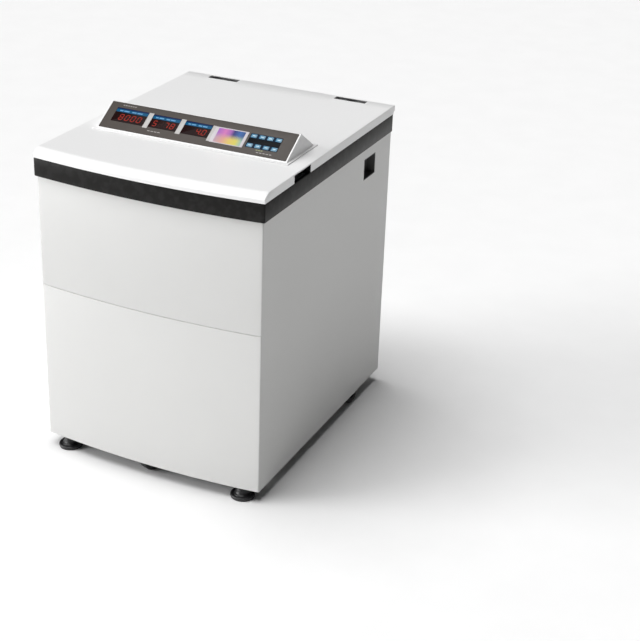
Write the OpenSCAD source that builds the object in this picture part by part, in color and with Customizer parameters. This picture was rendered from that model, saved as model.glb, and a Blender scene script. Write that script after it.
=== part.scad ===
// Floor-standing refrigerated laboratory centrifuge with a six-place fixed-angle rotor.
// The origin is on the floor under the middle of the machine.
// +X is to the operator's right, +Y runs to the back and +Z is up.

/* [Cabinet] */
// Width over the side panels
cabinet_w = 640; // [636:1:644]
// Depth from the front corners to the rear panel
cabinet_d = 775; // [771:1:779]
// Height of the panels
cabinet_h = 744; // [742:1:748]
// Gap between the floor and the lower edge of the panels
floor_gap = 35; // [34:1:37]
// Forward bow of the front at its middle
front_bow = 20; // [19:1:22]
// Height of the seam between the front panels, above their lower edge
seam_h = 444; // [400:1:480]
// Thickness of the sheet panels
sheet = 2; // [1.6:0.1:2.2]

/* [Band and lid] */
// Height of the dark band under the lid
band_h = 48; // [46:1:50]
// How far the band and the lid stand out at the front and sides
side_overhang = 6; // [5:0.5:7]
// How far the band and the lid stand out at the back
rear_overhang = 5; // [5:0.5:6]
// Height of the lid
lid_h = 23; // [22:1:26]
// Wall of the lid shell
lid_wall = 3; // [2.5:0.5:3.5]
// Length of the rounded nose along the top of the lid
nose_run = 25; // [20:1:28]
// Length of each finger notch in the lid's sides
notch_l = 91; // [80:1:100]
// Height of the hinge axis above the top of the band
hinge_rise = 2; // [2:0.1:2.2]

/* [Console] */
// Width of the wedge-shaped console
console_w = 552; // [548:2:560]
// Height of the console above the lid
console_h = 54; // [53:1:56]
// Run of the sloping face, seen from above
console_face_run = 86; // [85:1:88]
// Run of the console's back slope, seen from above
console_back_run = 78; // [76:1:82]

/* [Chamber and drive] */
// Inner radius of the rotor chamber
bowl_r = 200; // [199:0.5:201]
// Outer radius of the drive shaft
shaft_r = 12.5; // [12:0.5:13]
// Radial clearance of the running fits
running_fit = 0.05; // [0.02:0.01:0.1]

/* [Rotor] */
// Radius of the rotor's foot
rotor_base_r = 165; // [160:1:168]
// Height of the rotor
rotor_h = 122; // [120:1:124]
// Outer radius of the rim band
rim_r = 130.5; // [129:0.5:132]
// Radius of the cavities
cavity_r = 35; // [33:0.5:35]
// Tilt of the cavities from the vertical
cavity_tilt = 25; // [24:1:26]

/* [Wheels and feet] */
// Radius of the caster wheels
wheel_r = 37.5; // [36:0.5:38]
// Width of the caster wheels
wheel_w = 26; // [24:1:26]
// Radius of the levelling feet
foot_r = 32; // [30:1:34]

/* [Hidden] */
$fn = 64;
eps = 0.01;

// Heights
body_top = floor_gap + cabinet_h;
band_top = body_top + band_h;
lid_bottom = band_top + 1;
lid_top = lid_bottom + lid_h;
deck_top = band_top - 12;
deck_t = 3;
base_z = 100;
base_t = 6;
floor_z = base_z + base_t;

// Plan: the lid's front and back are the same distance from the origin
rear_y = (cabinet_d + front_bow + side_overhang - rear_overhang) / 2;
front_y = rear_y - cabinet_d;
half_w = cabinet_w / 2;
bow_r = (half_w * half_w + front_bow * front_bow) / (2 * front_bow);
bow_centre_y = front_y - front_bow + bow_r;

// Chamber and drive
chamber_y = 50;
bowl_wall = 2;
bowl_floor = body_top - 129;
bridge_z = bowl_floor - 77;
bridge_t = 12;
motor_top = bridge_z - 23;
motor_bottom = motor_top - 220;
rotor_z = bowl_floor + 22;
bearing_r = 26;
bearing_w = 15;

// Lid hinge axis
hinge_y = rear_y - 1;
hinge_z = band_top + hinge_rise;
hinge_x = 200;
barrel_r = 6;
pin_r = 3;
slot_w = 94;
slot_y = rear_y - 24;

// Finger notches in the lid
notch_y = rear_y - 625;

// Rotor's dish
dish_floor = rotor_h - 41;
mouth_r = 75;

// Cooling
coil_r = 207.3;
coil_riser = [0, chamber_y] + coil_r * [cos(130), sin(130)];
drain_at = [-60, chamber_y + 165];
compressor_at = [-170, chamber_y + 220];
pipe_r = 5;

// Mains inlet
inlet_x = -200;
inlet_z = 170;

// Lid lock
striker_x = 117;
striker_y = front_y + 47;
bolt_top = deck_top - 31;

// Console
console_y = front_y + 203;
face_slope = atan(console_h / console_face_run);
back_slope = atan(console_h / console_back_run);
face_t = 2;
board_w = -12;
board_t = 1.6;
// Display windows on the face: left edge, lower edge, width and height
speed_window = [-248, 35, 97, 46];
time_window = [-137, 36, 83, 43];
temperature_window = [-40, 35, 79, 43];
screen_window = [60, 28, 73, 46];
screen_bezel = [44, 26, 98, 51];
key_size = [16, 11];
key_gap = 0.3;
key_proud = 1.6;
key_columns = [159, 182, 205, 228];
key_rows = [68, 38];

// Casters and feet
fork_yaw = -18;
fork_y = front_y + 46;
trail = 24;
axle_r = 4;
rear_wheel_x = 300;
rear_wheel_y = rear_y - 168;
foot_x = 265;
foot_y = front_y + 18;
stud_r = 8;

// Mains switch recess in the right side panel
recess_y = rear_y - 178;
recess_z = body_top - 88;
recess_size = [24, 71, 55];
rocker_y = recess_y + 12;
rocker_z = recess_z + 33;
rocker_x = half_w - 22;
rocker_pin_r = 1.5;

// Cooling fan and condenser
fan_x = 164;
fan_z = 290;
fan_y = rear_y - 90;

// ---- Shared shapes ----

// Points on an arc about a centre, from one angle to another
function arc(centre, r, from, to, steps) =
    [for (i = [0:steps]) let (a = from + (to - from) * i / steps) centre + r * [cos(a), sin(a)]];

// Cabinet outline in plan, grown at the front and sides, and at the back
function plan_points(grow, back, front_corner, rear_corner) =
    let (
        side = half_w + grow,
        reach = bow_r + grow - front_corner,
        turn = asin((side - front_corner) / reach),
        corner_y = bow_centre_y - reach * cos(turn),
        rear_x = side - rear_corner,
        rear_corner_y = rear_y + back - rear_corner
    )
    concat(
        arc([front_corner - side, corner_y], front_corner, 180, 270 - turn, 4),
        arc([0, bow_centre_y], bow_r + grow, 270 - turn + 0.3, 270 + turn - 0.3, 22),
        arc([side - front_corner, corner_y], front_corner, 270 + turn, 360, 4),
        arc([rear_x, rear_corner_y], rear_corner, 0, 90, 4),
        arc([-rear_x, rear_corner_y], rear_corner, 90, 180, 4)
    );

module plan(grow = 0, back = 0, front_corner = 3, rear_corner = 3)
    polygon(plan_points(grow, back, front_corner, rear_corner));

module plan_slab(bottom, top, grow = 0, back = 0, front_corner = 3, rear_corner = 3)
    translate([0, 0, bottom])
        linear_extrude(top - bottom) plan(grow, back, front_corner, rear_corner);

// A box given by its lowest and highest corners
module box(low, high)
    translate(low) cube(high - low);

// An upright tube or, with no bore, a rod
module post(centre, bottom, top, r, bore = 0)
    translate([centre.x, centre.y, bottom]) difference() {
        cylinder(r = r, h = top - bottom);
        if (bore > 0) translate([0, 0, -1]) cylinder(r = bore, h = top - bottom + 2);
    }

// A rod along X
module rod_x(from, to, y, z, r)
    translate([from, y, z]) rotate([0, 90, 0]) cylinder(r = r, h = to - from);

// A rod along Y
module rod_y(x, from, to, z, r)
    translate([x, from, z]) rotate([-90, 0, 0]) cylinder(r = r, h = to - from);

module both_sides() {
    children();
    mirror([1, 0, 0]) children();
}

// ---- Base and frame ----

module base_plate() color("dimgray") difference() {
    plan_slab(base_z, floor_z, -8, -8);
    for (side = [-1, 1]) post([side * foot_x, foot_y], base_z - 1, floor_z + 1, stud_r + 0.4);
    post([-60, 350], base_z - 1, floor_z + 1, 6.2);
}

// Corner posts, rails and the legs of the bridge, each a separate tube
module chassis_frame() color("gray") {
    tube = 28;
    outer = half_w - 8;
    both_sides() {
        for (y = [front_y + 25, rear_y - 38])
            box([outer - tube, y, floor_z], [outer, y + tube, body_top - 3]);
        for (y = [front_y + 172, rear_y - 98])
            box([outer - 40, y, floor_z], [outer - 12, y + tube, bridge_z]);
    }
    for (y = [front_y + 25, rear_y - 38])
        box([tube + 0.5 - outer, y, body_top - 39], [outer - tube - 0.5, y + tube, body_top - 15]);
}

module bridge_plate() color("silver") difference() {
    box([-300, front_y + 157, bridge_z], [300, rear_y - 58, bridge_z + bridge_t]);
    post([0, chamber_y], bridge_z - 1, bridge_z + bridge_t + 1, 60);
    post(coil_riser, bridge_z - 1, bridge_z + bridge_t + 1, 8);
    post(drain_at, bridge_z - 1, bridge_z + bridge_t + 1, 9);
}

module caster_brackets() color("silver") {
    // swivel plate and king pin of the front caster
    translate([0, fork_y, 0]) {
        box([-35, -30, base_z - 4], [35, 30, base_z]);
        post([0, 0], base_z - 20, base_z - 4 + eps, 6);
        post([0, 0], base_z - 24, base_z - 20 + eps, 9);
    }
    // fixed forks of the rear casters, with their axles
    both_sides() translate([rear_wheel_x, rear_wheel_y, 0]) {
        box([-38, -32, base_z - 4], [5, 32, base_z]);
        box([-17, -32, base_z - 8], [17, 32, base_z - 4 + eps]);
        for (x = [-17, 14]) translate([x, 0, 0]) rotate([90, 0, 90])
            linear_extrude(3) polygon([
                [-30, base_z - 7], [-11, wheel_r], [-8, wheel_r - 8], [8, wheel_r - 8],
                [11, wheel_r], [30, base_z - 7]
            ]);
        rod_x(-17, 17, 0, wheel_r, axle_r);
    }
}

module caster_fork() color("silver")
    translate([0, fork_y, 0]) rotate([0, 0, fork_yaw]) {
        difference() {
            union() {
                post([0, 0], base_z - 19.7, base_z - 6, 22);
                box([-18, -20, base_z - 19.7], [18, 14, base_z - 13]);
            }
            post([0, 0], base_z - 21, base_z - 5, 6 + running_fit);
        }
        for (x = [-18, 15]) translate([x, 0, 0]) rotate([90, 0, 90])
            linear_extrude(3) polygon([
                [-20, base_z - 16], [-trail - 10, wheel_r + 3], [-trail - 8, wheel_r - 7],
                [-trail, wheel_r - 10], [-trail + 9, wheel_r - 5], [14, base_z - 20], [14, base_z - 16]
            ]);
        rod_x(-18, 18, -trail, wheel_r, axle_r);
    }

// Wheel on an axle along X through the origin: tyre, web and hub
module wheel() rotate([0, 90, 0]) rotate_extrude() polygon(concat(
    [[axle_r + running_fit, -wheel_w / 2], [12, -wheel_w / 2], [14, -6], [25, -6], [27, -wheel_w / 2 + 1]],
    arc([wheel_r - 4, -wheel_w / 2 + 4], 4, -90, 0, 4),
    arc([wheel_r - 4, wheel_w / 2 - 4], 4, 0, 90, 4),
    [[27, wheel_w / 2 - 1], [25, 6], [14, 6], [12, wheel_w / 2], [axle_r + running_fit, wheel_w / 2]]
));

module front_caster_wheel() color([0.1, 0.1, 0.1])
    translate([0, fork_y, 0]) rotate([0, 0, fork_yaw]) translate([0, -trail, wheel_r]) wheel();

module rear_caster_wheel(side) color([0.1, 0.1, 0.1])
    translate([side * rear_wheel_x, rear_wheel_y, wheel_r]) wheel();

// Levelling foot: disc, conical hub, thick stem and stud
module levelling_foot(side) color([0.08, 0.08, 0.08])
    translate([side * foot_x, foot_y, 0]) rotate_extrude() polygon([
        [0, 0], [foot_r - 2, 0], [foot_r, 2], [foot_r, 7], [foot_r - 3, 9.5], [24, 10],
        [17, 20], [16, 24], [16, 48], [stud_r, 50], [stud_r, 125], [0, 125]
    ]);

module cabinet_fasteners() color("silver") {
    // nuts on the studs of the levelling feet
    for (side = [-1, 1]) translate([side * foot_x, foot_y, floor_z]) difference() {
        cylinder(r = 14, h = 13, $fn = 6);
        translate([0, 0, -1]) cylinder(r = stud_r + running_fit, h = 15);
    }
    // screws of the rear panel
    for (x = [-300, -100, 100, 300], z = [floor_gap + 15, 420, body_top - 15])
        rod_y(x, rear_y, rear_y + 2, z, 4.5);
    // screws of the deck
    for (x = [-295, 295], y = [-300, -60, 180, 330])
        post([x, y], deck_top, deck_top + 2, 5);
}

// ---- Panels ----

// A stretch of the bowed front, with a return flange at its top and, if wanted, at its bottom
module front_skin(bottom, top, lower_flange) {
    flange = 12;
    reach_back = front_y + 3;
    intersection() {
        difference() {
            plan_slab(bottom, top);
            plan_slab(bottom - 1, top + 1, -sheet, -sheet, 1, 1);
        }
        box([-cabinet_w, reach_back - 60, 0], [cabinet_w, reach_back, body_top + 1]);
    }
    heights = lower_flange ? [bottom, top - sheet] : [top - sheet];
    for (z = heights) intersection() {
        difference() {
            plan_slab(z, z + sheet, -sheet + 0.02, -sheet, 1, 1);
            plan_slab(z - 1, z + sheet + 1, -sheet - flange, -40, 1, 1);
        }
        box([-half_w + 20, front_y - 60, 0], [half_w - 20, front_y + flange, body_top + 1]);
    }
}

module front_upper_panel() color("white") front_skin(floor_gap + seam_h + 0.6, body_top, true);

module front_lower_panel() color("white") front_skin(floor_gap, floor_gap + seam_h - 0.6, false);

// A side panel: sheet with flanges at the top and along the base plate
module side_sheet() {
    start = front_y + 3.3;
    inner = half_w - sheet;
    box([inner, start, floor_gap], [half_w, rear_y, body_top]);
    box([inner - 10, start + 12, body_top - sheet], [inner + eps, rear_y - 6, body_top]);
    box([inner - 10, start + 30, base_z - sheet], [inner + eps, rear_y - 6, base_z]);
}

module left_side_panel() color("white") mirror([1, 0, 0]) side_sheet();

module right_side_panel() color("white") difference() {
    side_sheet();
    box([half_w - 10, recess_y - 2.2, recess_z - 2.2],
        [half_w + 1, recess_y + recess_size.y + 2.2, recess_z + recess_size.z + 2.2]);
}

module rear_panel() color("whitesmoke") difference() {
    box([sheet - half_w + 0.2, rear_y - sheet, floor_gap], [half_w - sheet - 0.2, rear_y, body_top]);
    // air slots behind the condenser
    for (i = [0:11]) {
        low = fan_z - 121 + 21 * i;
        box([fan_x - 95, rear_y - 5, low], [fan_x + 95, rear_y + 1, low + 9]);
    }
    // warm air slots of the electronics
    for (i = [0:5]) {
        low = 470 + 16 * i;
        box([-250, rear_y - 5, low], [-110, rear_y + 1, low + 6]);
    }
    box([inlet_x - 26, rear_y - 5, inlet_z - 18], [inlet_x + 26, rear_y + 1, inlet_z + 18]);
}

// ---- Band and deck ----

module trim_band() color([0.16, 0.16, 0.16]) difference() {
    union() {
        difference() {
            plan_slab(body_top, band_top, side_overhang, rear_overhang, 4, 14);
            plan_slab(body_top - 1, band_top + 1, -4, -5, 2, 6);
        }
        // ledge that carries the deck
        difference() {
            plan_slab(deck_top - deck_t - 4, deck_top - deck_t, -4 + eps, -5 + eps, 2, 6);
            plan_slab(deck_top - deck_t - 5, deck_top, -12, -13, 2, 6);
        }
    }
    // room for the hinge barrels
    both_sides() box([hinge_x - 52, rear_y - 9, band_top - 5.5], [hinge_x + 52, rear_y + 10, band_top + 1]);
}

module top_deck() color([0.8, 0.81, 0.82]) difference() {
    plan_slab(deck_top - deck_t, deck_top, -4.2, -5.2, 2, 6);
    post([0, chamber_y], deck_top - deck_t - 1, deck_top + 1, bowl_r + bowl_wall + 0.2);
    for (side = [-1, 1])
        box([side * striker_x - 6, striker_y - 17, deck_top - deck_t - 1],
            [side * striker_x + 6, striker_y + 17, deck_top + 1]);
}

// Hinge halves that stay with the cabinet
module hinge_brackets() color("dimgray") both_sides() difference() {
    union() {
        box([hinge_x - 42, hinge_y - 47, deck_top], [hinge_x + 42, hinge_y - 8.5, deck_top + 3]);
        box([hinge_x - 19, hinge_y - 20, deck_top], [hinge_x + 19, hinge_y + 2, hinge_z - 2]);
        rod_x(hinge_x - 19, hinge_x + 19, hinge_y, hinge_z, barrel_r);
    }
    rod_x(hinge_x - 20, hinge_x + 20, hinge_y, hinge_z, pin_r + running_fit);
    box([hinge_x - 21, hinge_y - 4.3, band_top - 40], [hinge_x + 21, hinge_y + 10, band_top - 5.3]);
}

// ---- Chamber and cooling ----

module chamber_bowl() color("silver") difference() {
    union() {
        post([0, chamber_y], bowl_floor - bowl_wall, deck_top + 2, bowl_r + bowl_wall);
        post([0, chamber_y], deck_top, deck_top + 2, bowl_r + 22);
    }
    post([0, chamber_y], bowl_floor, deck_top + 3, bowl_r);
    post([0, chamber_y], bowl_floor - bowl_wall - 1, bowl_floor + 1, 30);
    post(drain_at, bowl_floor - bowl_wall - 1, bowl_floor + 1, 4);
}

module chamber_gasket() color([0.12, 0.12, 0.12])
    translate([0, chamber_y, 0]) rotate_extrude() polygon(concat(
        [[bowl_r + 5, deck_top + 2], [bowl_r + 18, deck_top + 2], [bowl_r + 18, lid_bottom - 4]],
        arc([bowl_r + 11.5, lid_bottom - 4], 4.7, 0, 180, 10),
        [[bowl_r + 5, lid_bottom - 4]]
    ));

module guard_ring() color("slategray")
    post([0, chamber_y], bridge_z + bridge_t, deck_top - 15, 250, 238);

module chamber_insulation() color("khaki") difference() {
    post([0, chamber_y], bridge_z + bridge_t + 15, deck_top - 15, 237.5);
    post([0, chamber_y], bowl_floor - 10, deck_top, 213.5);
    post([0, chamber_y], bridge_z, bowl_floor, 62);
    post(coil_riser, bridge_z, bowl_floor, 8);
    post(drain_at, bridge_z, bowl_floor, 9);
}

// Straight pipe between two points, with a round fitting at the second
module pipe(from, to) {
    run = to - from;
    length = norm(run);
    translate(from) rotate([0, acos(run.z / length), atan2(run.y, run.x)])
        cylinder(r = pipe_r, h = length);
    translate(to) sphere(r = 1.4 * pipe_r);
}

// Evaporator turns round the bowl, their feed pipe, and the pipe to the condenser
module refrigerant_pipes() color("peru") {
    turns = 8;
    pitch = 18;
    lowest = bowl_floor + 15;
    for (i = [0:turns - 1]) translate([0, chamber_y, lowest + pitch * i])
        rotate_extrude() translate([coil_r, 0]) circle(r = pipe_r, $fn = 24);
    feed_z = 385;
    feed = [compressor_at.x, compressor_at.y, feed_z];
    bend = [coil_riser.x, coil_riser.y, feed_z];
    pipe([coil_riser.x, coil_riser.y, lowest - pipe_r - 0.5], bend);
    pipe(bend, feed);
    pipe(feed, [feed.x, feed.y, 362]);
    outlet_z = 405;
    outlet = [compressor_at.x + 30, compressor_at.y + 25];
    back_y = rear_y - 40;
    pipe([outlet.x, outlet.y, 360], [outlet.x, outlet.y, outlet_z]);
    pipe([outlet.x, outlet.y, outlet_z], [outlet.x, back_y, outlet_z]);
    pipe([outlet.x, back_y, outlet_z], [fan_x - 112, back_y, outlet_z]);
}

module compressor() color([0.15, 0.15, 0.16]) {
    translate([compressor_at.x, compressor_at.y, 0]) {
        rotate_extrude() polygon(concat(
            [[0, floor_z + 6]],
            arc([60, floor_z + 31], 25, -90, 0, 6),
            arc([45, 315], 40, 0, 90, 8),
            [[0, 355]]
        ));
        for (x = [-60, 60], y = [-60, 60]) post([x, y], floor_z, floor_z + 8, 10);
        box([-75, -75, floor_z + 8], [75, 75, floor_z + 11]);
    }
}

module condenser() color("silver") {
    left = fan_x - 104;
    right = fan_x + 104;
    depth = [rear_y - 64, rear_y - 16];
    for (x = [left, right - 3]) box([x, depth[0], fan_z - 130], [x + 3, depth[1], fan_z + 130]);
    for (i = [0:6], y = [rear_y - 52, rear_y - 28])
        rod_x(left + 1, right - 1, y, fan_z - 114 + 38 * i, 5);
    for (i = [1:15]) {
        x = left + 13 * i;
        box([x, depth[0] + 3, fan_z - 126], [x + 1, depth[1] - 3, fan_z + 126]);
    }
}

module fan_shroud() color([0.12, 0.12, 0.13]) {
    difference() {
        box([fan_x - 104, rear_y - 108, fan_z - 110], [fan_x + 104, rear_y - 68, fan_z + 110]);
        rod_y(fan_x, rear_y - 109, rear_y - 67, fan_z, 103);
    }
    difference() {
        union() {
            for (a = [90, 210, 330]) translate([fan_x, rear_y - 106, fan_z]) rotate([0, a, 0])
                box([-5, 0, 15], [5, 4, 106]);
            rod_y(fan_x, rear_y - 136, rear_y - 101, fan_z, 25);
        }
        rod_y(fan_x, rear_y - 125, rear_y - 100, fan_z, 4 + running_fit);
    }
}

module fan_blades() color([0.2, 0.2, 0.22]) translate([fan_x, fan_y, fan_z]) {
    rod_y(0, -10, 10, 0, 28);
    rod_y(0, -30, -9, 0, 4);
    for (i = [0:4]) rotate([0, 72 * i, 0]) rotate([0, 0, 28])
        box([-19, -1.5, 24], [19, 1.5, 94]);
}

// ---- Motor ----

module motor_housing() color([0.35, 0.37, 0.4]) translate([0, chamber_y, 0]) difference() {
    union() {
        post([0, 0], motor_bottom, motor_top, 100);
        post([0, 0], motor_top - 10, motor_top, 125);
        for (a = [0:15:345]) rotate([0, 0, a])
            box([98, -2, motor_bottom + 20], [108, 2, motor_top - 20]);
    }
    post([0, 0], motor_bottom + 20, motor_top - 35, 92);
    post([0, 0], motor_bottom + 5, motor_bottom + 21, bearing_r);
    post([0, 0], motor_top - 36, motor_top - 20, bearing_r);
    post([0, 0], motor_bottom + 4, motor_top + 1, 16);
}

module motor_stator() color("peru")
    post([0, chamber_y], motor_bottom + 45, motor_top - 45, 91.8, 57);

module motor_dampers() color([0.1, 0.1, 0.1])
    for (a = [45:90:315]) translate([0, chamber_y, 0]) rotate([0, 0, a])
        post([105, 0], motor_top, bridge_z - 0.05, 18);

module spindle_bearings() color("lightgray")
    for (z = [motor_bottom + 5, motor_top - 35])
        post([0, chamber_y], z, z + bearing_w, bearing_r, shaft_r + running_fit);

module drive_shaft() color("lightgray") translate([0, chamber_y, 0]) {
    post([0, 0], motor_bottom + 6, rotor_z + 72, shaft_r);
    post([0, 0], rotor_z + 72 - eps, rotor_z + 92, 8);
    post([0, 0], motor_bottom + 55, motor_top - 55, 55);
    post([0, 0], rotor_z - 9, rotor_z, 40);
}

// ---- Rotor ----

module rotor_body() color([0.2, 0.19, 0.26])
    translate([0, chamber_y, rotor_z]) difference() {
        rotate_extrude($fn = 128) polygon([
            [0, 0], [rotor_base_r - 2, 0], [rotor_base_r, 2], [rotor_base_r, 7],
            [rim_r + 2.5, rotor_h - 26], [rim_r, rotor_h - 26], [rim_r, rotor_h - 2],
            [rim_r - 2, rotor_h], [rim_r - 9.5, rotor_h], [rim_r - 11.5, rotor_h - 3],
            [39, dish_floor], [0, dish_floor]
        ]);
        for (i = [0:5]) rotate([0, 0, 16 + 60 * i])
            translate([mouth_r, 0, dish_floor + (mouth_r - 39) * tan(cavity_tilt)])
                rotate([0, 180 - cavity_tilt, 0]) {
                    translate([0, 0, -30]) cylinder(r = cavity_r, h = 90);
                    translate([0, 0, 60]) sphere(r = cavity_r);
                }
        post([0, 0], -1, 72.2, shaft_r + 0.1);
        post([0, 0], 70, dish_floor + 1, 8.2);
    }

module rotor_nut() color([0.3, 0.3, 0.32])
    translate([0, chamber_y, rotor_z + dish_floor]) difference() {
        union() {
            cylinder(r = 22, h = 4);
            cylinder(r = 16, h = 16, $fn = 6);
        }
        post([0, 0], -1, 12.5, 8.2);
    }

// ---- Electrics ----

module inverter_box() color("lightgray") {
    low = [-265, front_y + 52, floor_z];
    high = [-60, front_y + 177, floor_z + 310];
    difference() {
        box(low, high);
        box(low + [2, 2, 2], high - [2, 2, 2]);
    }
    for (x = [low.x + 10:20:low.x + 190])
        box([x, high.y - eps, low.z + 30], [x + 3, high.y + 14, high.z - 30]);
}

// Appliance inlet with three contact blades
module power_inlet() color([0.1, 0.1, 0.1]) {
    difference() {
        union() {
            box([inlet_x - 25, rear_y - 30, inlet_z - 17], [inlet_x + 25, rear_y + 1, inlet_z + 17]);
            box([inlet_x - 32, rear_y, inlet_z - 22], [inlet_x + 32, rear_y + 3, inlet_z + 22]);
        }
        box([inlet_x - 22, rear_y - 15, inlet_z - 14], [inlet_x + 22, rear_y + 4, inlet_z + 14]);
    }
    for (x = [-14, 0, 14])
        box([inlet_x + x - 1, rear_y - 16, inlet_z - 4], [inlet_x + x + 1, rear_y - 1, inlet_z + 4]);
}

module switch_recess() color([0.1, 0.1, 0.1]) {
    back = half_w - recess_size.x;
    difference() {
        union() {
            difference() {
                box([back - 2, recess_y - 2, recess_z - 2],
                    [half_w, recess_y + recess_size.y + 2, recess_z + recess_size.z + 2]);
                box([back, recess_y, recess_z],
                    [half_w + 1, recess_y + recess_size.y, recess_z + recess_size.z]);
            }
            // frame that carries the rocker
            box([back - eps, rocker_y - 11.5, rocker_z - 17], [rocker_x + 3, rocker_y + 11.5, rocker_z + 17]);
        }
        box([back - 3, rocker_y - 8, rocker_z - 13.5], [rocker_x + 4, rocker_y + 8, rocker_z + 13.5]);
        rod_y(rocker_x, rocker_y - 10.5, rocker_y + 10.5, rocker_z, rocker_pin_r + running_fit);
    }
}

// Rocker resting at one side of its stroke, on its pin
module mains_rocker() color([0.75, 0.75, 0.75]) {
    translate([rocker_x, rocker_y, rocker_z]) rotate([0, -10, 0]) rotate([90, 0, 0])
        translate([0, 0, -7.5]) linear_extrude(15) polygon([
            [-4, -6], [3, -11], [5.2, -10.5], [3.2, 0], [5.2, 10.5], [3, 11], [-4, 6]
        ]);
    rod_y(rocker_x, rocker_y - 10, rocker_y + 10, rocker_z, rocker_pin_r);
}

// ---- Lid lock ----

module lock_housing() color("silver") {
    low = [-180, striker_y - 22, bolt_top - 16];
    high = [170, striker_y + 22, deck_top - deck_t - 0.5];
    difference() {
        box(low, high);
        box(low + [2, 2, 2], high + [-2, -2, 1]);
    }
    // guides of the bolt
    for (x = [-50, 40]) difference() {
        box([x - 8, low.y + 2, low.z + 2], [x + 8, high.y - 2, bolt_top + 6]);
        box([x - 9, striker_y - 6.4, bolt_top - 8.4], [x + 9, striker_y + 6.4, bolt_top + 0.4]);
    }
    // solenoid that pulls the bolt
    difference() {
        rod_x(126, 164, striker_y, bolt_top - 4, 9.5);
        rod_x(125, 165, striker_y, bolt_top - 4, 3.6);
    }
}

// Bolt with two pins that enter the strikers
module lock_bolt() color("lightgray") {
    pin_z = bolt_top + 14;
    box([-149, striker_y - 6, bolt_top - 8], [93, striker_y + 6, bolt_top]);
    for (x = [-striker_x, striker_x]) {
        box([x - 32, striker_y - 6, bolt_top - eps], [x - 24, striker_y + 6, pin_z + 4]);
        rod_x(x - 25, x - 4, striker_y, pin_z, 4);
    }
    rod_x(92, 138, striker_y, bolt_top - 4, 3);
}

// ---- Drain ----

module drain_spigot() color([0.25, 0.25, 0.27]) {
    bend = [drain_at.x, drain_at.y, floor_z + 24];
    over = [-60, 350, floor_z + 24];
    post(drain_at, bend.z, bowl_floor - bowl_wall, 5.5);
    translate(bend) sphere(r = 5.5, $fn = 24);
    rod_y(bend.x, bend.y, over.y, bend.z, 5.5);
    translate(over) sphere(r = 5.5, $fn = 24);
    post([over.x, over.y], base_z - 30, over.z, 6);
    post([over.x, over.y], base_z - 5, base_z, 14);
}

// ---- Lid ----

module lid_shell() color("white") {
    outer_r = bow_r + side_overhang;
    nose_r = 40;
    crease = 8;
    nose_centre = [outer_r - nose_run - nose_r * sin(crease), lid_top - nose_r * cos(crease)];
    difference() {
        union() {
            difference() {
                plan_slab(lid_bottom, lid_top, side_overhang, rear_overhang, 4, 4);
                lid_hollow(lid_bottom - 1, lid_top - lid_wall, 0);
            }
            // walls of the finger notches
            both_sides()
                box([half_w - 24, notch_y - 3, lid_bottom], [half_w + 4, notch_y + notch_l + 3, lid_top - 1]);
        }
        // rounded nose, turned about the centre of the bow
        translate([0, bow_centre_y, 0]) rotate([0, 0, 260]) rotate_extrude(angle = 20, $fn = 720)
            polygon(concat(
                [[nose_centre.x, lid_top + 20]],
                arc(nose_centre, nose_r, 90, 34, 14),
                [[outer_r + 15, nose_centre.y + nose_r * sin(34)], [outer_r + 15, lid_top + 20]]
            ));
        both_sides() {
            box([half_w - 22, notch_y, lid_bottom - 1],
                [half_w + 20, notch_y + notch_l, lid_top - 5]);
            box([hinge_x - slot_w / 2, slot_y, lid_bottom], [hinge_x + slot_w / 2, slot_y + 24, lid_top + 1]);
        }
        // the rear skirt is cut up so that it clears the band as the lid opens
        box([-cabinet_w, hinge_y - 1, lid_bottom - 1], [cabinet_w, rear_y + 20, lid_bottom + 7.5]);
    }
}

// Inside of the lid shell, with a margin from its walls; the nose stays solid
module lid_hollow(bottom, top, margin) {
    grow = side_overhang - lid_wall - margin;
    back = rear_overhang - lid_wall - margin;
    intersection() {
        plan_slab(bottom, top, grow, back, 2, 2);
        translate([0, 20 + margin, 0]) plan_slab(bottom, top, grow, back, 2, 2);
    }
}

module lid_liner() color([0.85, 0.86, 0.87]) difference() {
    lid_hollow(lid_bottom + 1, lid_bottom + 4, 0.5);
    box([-cabinet_w, hinge_y - 12, 0], [cabinet_w, rear_y + 20, lid_top]);
    both_sides() {
        box([half_w - 24.5, notch_y - 3.5, 0], [half_w + 20, notch_y + notch_l + 3.5, lid_top]);
        box([striker_x - 2.4, striker_y - 12.4, 0], [striker_x + 2.4, striker_y + 12.4, lid_top]);
    }
}

module lid_insulation() color("khaki")
    box([-285, front_y + 77, lid_bottom + 4.3], [285, hinge_y - 40, lid_top - lid_wall - 0.3]);

module lid_strikers() color("lightgray") both_sides() difference() {
    union() {
        box([striker_x - 16, striker_y - 15, lid_bottom + 4],
            [striker_x + 16, striker_y + 15, lid_bottom + 7]);
        box([striker_x - 2, striker_y - 12, bolt_top + 4], [striker_x + 2, striker_y + 12, lid_bottom + 5]);
    }
    rod_x(striker_x - 10, striker_x + 10, striker_y, bolt_top + 14, 5);
}

// Hinge halves that turn with the lid, with their pins
module lid_hinge_arms() color([0.08, 0.08, 0.08]) both_sides() {
    under_top = lid_top - lid_wall;
    box([hinge_x - 52, slot_y - 10, under_top - 3], [hinge_x + 52, slot_y + 24, under_top]);
    box([hinge_x - slot_w / 2 + 1, slot_y + 1, under_top - eps],
        [hinge_x + slot_w / 2 - 1, slot_y + 23, lid_top - 0.7]);
    for (x = [hinge_x - 45, hinge_x + 20]) {
        box([x, hinge_y - 10, hinge_z], [x + 25, hinge_y, under_top - 2]);
        rod_x(x, x + 25, hinge_y, hinge_z, barrel_r);
    }
    rod_x(hinge_x - 46, hinge_x + 46, hinge_y, hinge_z, pin_r);
}

// ---- Console ----

// Places children on the sloping face: x across, y up the slope, z outward
module on_face(at) translate([0, console_y, lid_top]) rotate([face_slope, 0, 0]) translate(at) children();

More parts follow.
